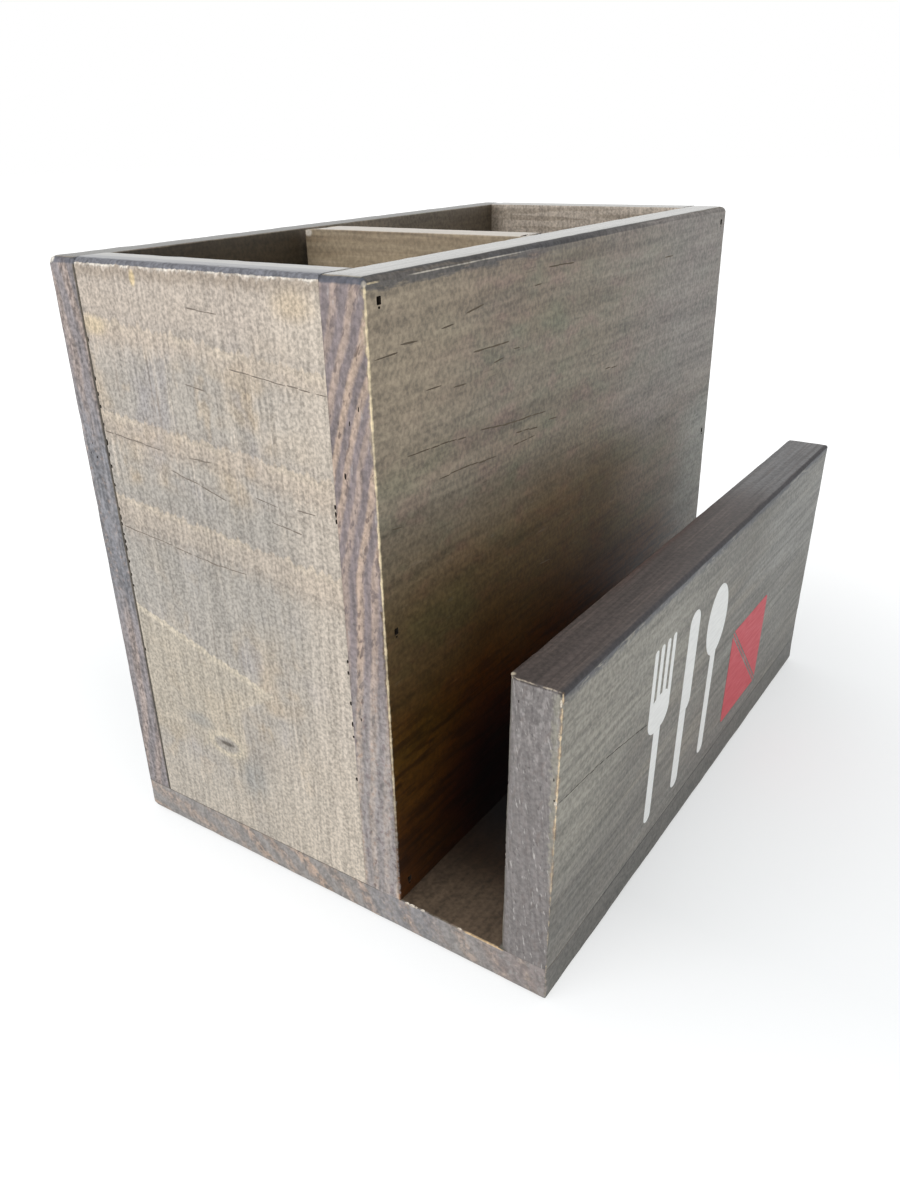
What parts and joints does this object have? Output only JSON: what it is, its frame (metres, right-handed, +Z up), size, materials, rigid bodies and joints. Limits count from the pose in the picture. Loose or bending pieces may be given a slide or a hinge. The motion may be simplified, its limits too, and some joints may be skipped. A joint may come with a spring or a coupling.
{
  "type": "napkin and cutlery caddy",
  "caption": "Open wooden table caddy: tall box with divided compartments for cutlery or straws, and a low leaning lip in front that forms a napkin slot.",
  "frame": {"origin": "on the surface that the caddy stands on, under the middle of its overall box", "axes": "+X along the caddy's length, towards the wide compartment; +Y from the napkin lip to the back board; +Z up"},
  "size_m": [0.18, 0.13, 0.15],
  "materials": {
    "stained_pine": "grey-brown stain, worn to pale wood on the edges, thin matt lacquer",
    "brad_steel": "bright wire, dulled by stain on the sunk heads",
    "white_print": "thin opaque screen-print ink, satin",
    "red_print": "thin opaque screen-print ink, satin"
  },
  "bodies": {
    "root": {"base_board": "stained_pine", "back_board": "stained_pine", "front_board": "stained_pine", "left_end_panel": "stained_pine", "right_end_panel": "stained_pine", "divider": "stained_pine", "front_lip": "stained_pine", "brads_front_left": "brad_steel", "brads_front_right": "brad_steel", "brads_back_left": "brad_steel", "brads_back_right": "brad_steel", "brads_base_lip": "brad_steel", "brads_base_front": "brad_steel", "brads_base_back": "brad_steel", "brads_base_left_end": "brad_steel", "brads_base_right_end": "brad_steel", "brads_base_divider": "brad_steel"}
  },
  "joints": []
}
